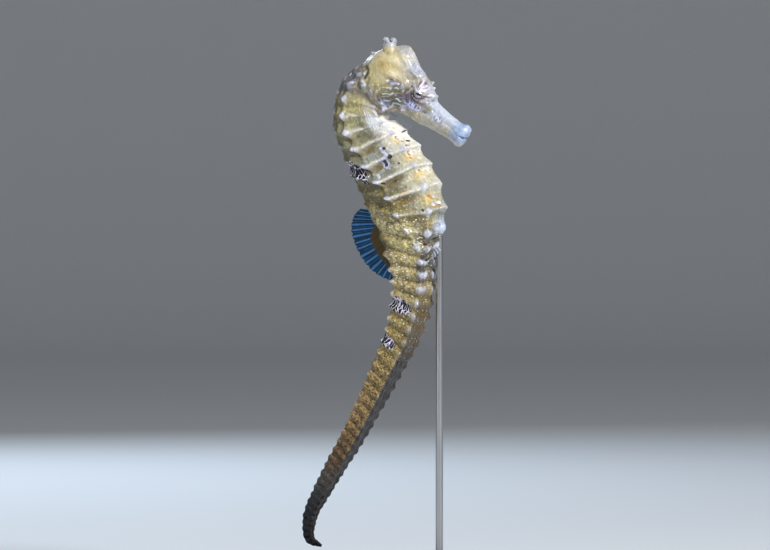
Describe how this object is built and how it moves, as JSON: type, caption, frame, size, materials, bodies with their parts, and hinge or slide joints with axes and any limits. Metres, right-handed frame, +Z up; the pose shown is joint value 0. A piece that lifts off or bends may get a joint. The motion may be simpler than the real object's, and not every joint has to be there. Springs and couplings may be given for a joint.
{
  "type": "seahorse",
  "caption": "Life-size lined seahorse with a ridged, ringed body and a hooked tail, held upright by a slim rod on a flat display base.",
  "frame": {"origin": "middle of the underside of the display base", "axes": "+Z up, +X the way the belly and snout face, +Y the animal's left"},
  "size_m": [0.08, 0.054, 0.1509],
  "materials": {
    "hide": "moist, satin skin over bony plates, golden cream with olive hollows",
    "snout": "moist, satin skin, pale cream with lilac lips",
    "tail": "moist, satin skin, ochre brown",
    "tail_tip": "moist, satin skin, nearly black",
    "fin": "thin, translucent, blue grey with pale rays",
    "eye": "wet, bronze iris with a dark slit of a pupil",
    "stand_base": "dark stain, satin lacquer",
    "stand_rod": "fine brushed"
  },
  "bodies": {
    "root": {"head": "hide", "snout": "snout", "coronet": "hide", "eye_left": "eye", "eye_right": "eye", "neck": "hide", "trunk_upper": "hide", "trunk_middle": "hide", "trunk_lower": "hide", "tail_1": "tail", "tail_2": "tail", "tail_3": "tail", "tail_4": "tail_tip", "tail_5": "tail_tip", "dorsal_fin": "fin", "anal_fin": "fin", "pectoral_fin_left": "fin", "pectoral_fin_right": "fin", "stand_base": "stand_base", "stand_rod": "stand_rod"}
  },
  "joints": []
}
